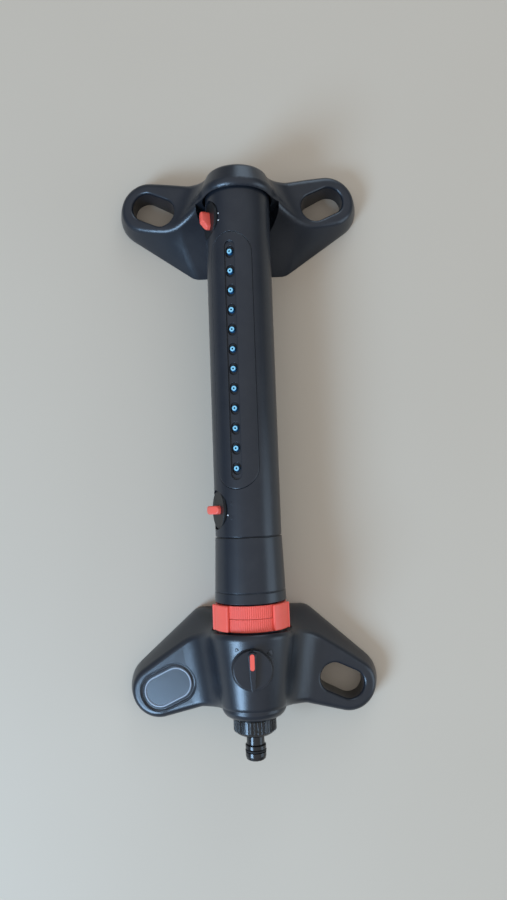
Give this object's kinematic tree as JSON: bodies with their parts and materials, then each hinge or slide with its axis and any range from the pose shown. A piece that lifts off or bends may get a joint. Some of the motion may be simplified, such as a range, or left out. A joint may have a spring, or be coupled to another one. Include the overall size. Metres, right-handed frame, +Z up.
{
  "type": "oscillating lawn sprinkler",
  "caption": "Oscillating lawn sprinkler with a swinging spray tube and rubber nozzle row between two winged stands, range rings, width knobs, a flow knob and a hose plug.",
  "frame": {"origin": "middle of the bounding box, on the ground", "axes": "+Y along the spray tube from the hose plug to the rear stand, +X to the right seen with the hose plug nearest, +Z up"},
  "size_m": [0.207, 0.476, 0.0874],
  "materials": {
    "charcoal": "moulded charcoal-grey plastic, fine satin grain",
    "black": "glossy black plastic",
    "orange": "satin coral-orange plastic",
    "blue_rubber": "soft blue nozzle rubber",
    "seal_rubber": "black sealing rubber",
    "acetal": "natural white gear plastic",
    "inner_grey": "grey inner moulding",
    "steel": "bright steel",
    "plate_grey": "bare badge plate"
  },
  "bodies": {
    "front_stand": {"front_stand": "charcoal", "badge_plate": "plate_grey", "valve_body": "inner_grey", "valve_cap": "inner_grey", "inlet_spindle": "inner_grey", "spindle_clip": "steel", "spindle_seal": "seal_rubber", "fixed_gear": "acetal", "range_carrier": "charcoal", "carrier_screws": "steel", "hose_connector": "black", "connector_washer": "seal_rubber", "nose_seal": "seal_rubber", "inlet_strainer": "acetal"},
    "rear_stand": {"rear_stand": "charcoal", "rear_bush": "acetal"},
    "spray_tube": {"spray_tube": "charcoal", "motor_housing": "charcoal", "nozzle_panel": "charcoal", "nozzle_strip": "seal_rubber", "nozzles": "blue_rubber", "tube_end_cap": "charcoal", "end_cap_seal": "seal_rubber", "gear_frame": "inner_grey", "gear_arbors": "steel", "jet_ring": "inner_grey", "bearing_plate": "inner_grey", "lever_pin": "steel"},
    "first_gears": {"first_gears": "acetal"},
    "second_gears": {"second_gears": "acetal"},
    "turbine": {"turbine": "acetal"},
    "reversing_lever": {"reversing_lever": "acetal"},
    "range_ring_left": {"range_ring_left": "orange"},
    "range_ring_right": {"range_ring_right": "orange"},
    "flow_knob": {"flow_knob": "charcoal", "flow_pointer": "orange", "valve_plug": "acetal", "plug_seal": "seal_rubber"},
    "width_knob_front": {"width_knob_front": "black", "width_flag_front": "orange", "width_crank_front": "acetal"},
    "width_knob_rear": {"width_knob_rear": "black", "width_flag_rear": "orange", "width_crank_rear": "acetal"},
    "shutter_front": {"shutter_front": "inner_grey"},
    "shutter_rear": {"shutter_rear": "inner_grey"}
  },
  "joints": [
    {"name": "tube_swing", "type": "hinge", "parent": "front_stand", "child": "spray_tube", "pos_m": [0, -0.13935, 0.048], "axis": [0, 1, 0], "range_deg": [-39, 71]},
    {"name": "rear_stand_twist", "type": "hinge", "parent": "front_stand", "child": "rear_stand", "pos_m": [0, -0.13935, 0.048], "axis": [0, 1, 0], "range_deg": [-25, 25]},
    {"name": "range_left_turn", "type": "hinge", "parent": "front_stand", "child": "range_ring_left", "pos_m": [0, -0.13935, 0.048], "axis": [0, 1, 0], "range_deg": [0, 33]},
    {"name": "range_right_turn", "type": "hinge", "parent": "front_stand", "child": "range_ring_right", "pos_m": [0, -0.13935, 0.048], "axis": [0, 1, 0], "range_deg": [-33, 0]},
    {"name": "flow_turn", "type": "hinge", "parent": "front_stand", "child": "flow_knob", "pos_m": [0, -0.16325, 0.074], "axis": [0, 0, 1], "range_deg": [-45, 45]},
    {"name": "width_front_turn", "type": "hinge", "parent": "spray_tube", "child": "width_knob_front", "pos_m": [-0.02293, -0.04595, 0.05634], "axis": [-0.9397, 0, 0.342], "range_deg": [0, 90]},
    {"name": "width_rear_turn", "type": "hinge", "parent": "spray_tube", "child": "width_knob_rear", "pos_m": [-0.02293, 0.18505, 0.05634], "axis": [-0.9397, 0, 0.342], "range_deg": [-10, 80]},
    {"name": "shutter_front_slide", "type": "slide", "parent": "spray_tube", "child": "shutter_front", "axis": [0, 1, 0], "range_m": [0, 0.00637]},
    {"name": "shutter_rear_slide", "type": "slide", "parent": "spray_tube", "child": "shutter_rear", "axis": [0, 1, 0], "range_m": [-0.00072, 0.00567]},
    {"name": "first_gears_turn", "type": "hinge", "parent": "spray_tube", "child": "first_gears", "pos_m": [0.00386, -0.10165, 0.03454], "axis": [0, 1, 0], "range_deg": [-97.5, 177.5]},
    {"name": "second_gears_turn", "type": "hinge", "parent": "spray_tube", "child": "second_gears", "pos_m": [-0.0052, -0.09665, 0.03923], "axis": [0, 1, 0], "range_deg": [-426, 234]},
    {"name": "turbine_turn", "type": "hinge", "parent": "spray_tube", "child": "turbine", "pos_m": [0, -0.08815, 0.048], "axis": [0, 1, 0], "range_deg": [-561.6, 1022.4]},
    {"name": "reversing_lever_flip", "type": "hinge", "parent": "spray_tube", "child": "reversing_lever", "pos_m": [-0.00413, -0.11705, 0.06242], "axis": [0, 1, 0], "range_deg": [-10, 10]}
  ],
  "couplings": [
    {"joint": "shutter_front_slide", "follows": "width_front_turn", "m_per_rad": 0.0040514},
    {"joint": "shutter_rear_slide", "follows": "width_rear_turn", "m_per_rad": 0.0040514},
    {"joint": "first_gears_turn", "follows": "tube_swing", "ratio": 2.5},
    {"joint": "second_gears_turn", "follows": "tube_swing", "ratio": -6},
    {"joint": "turbine_turn", "follows": "tube_swing", "ratio": 14.4}
  ]
}
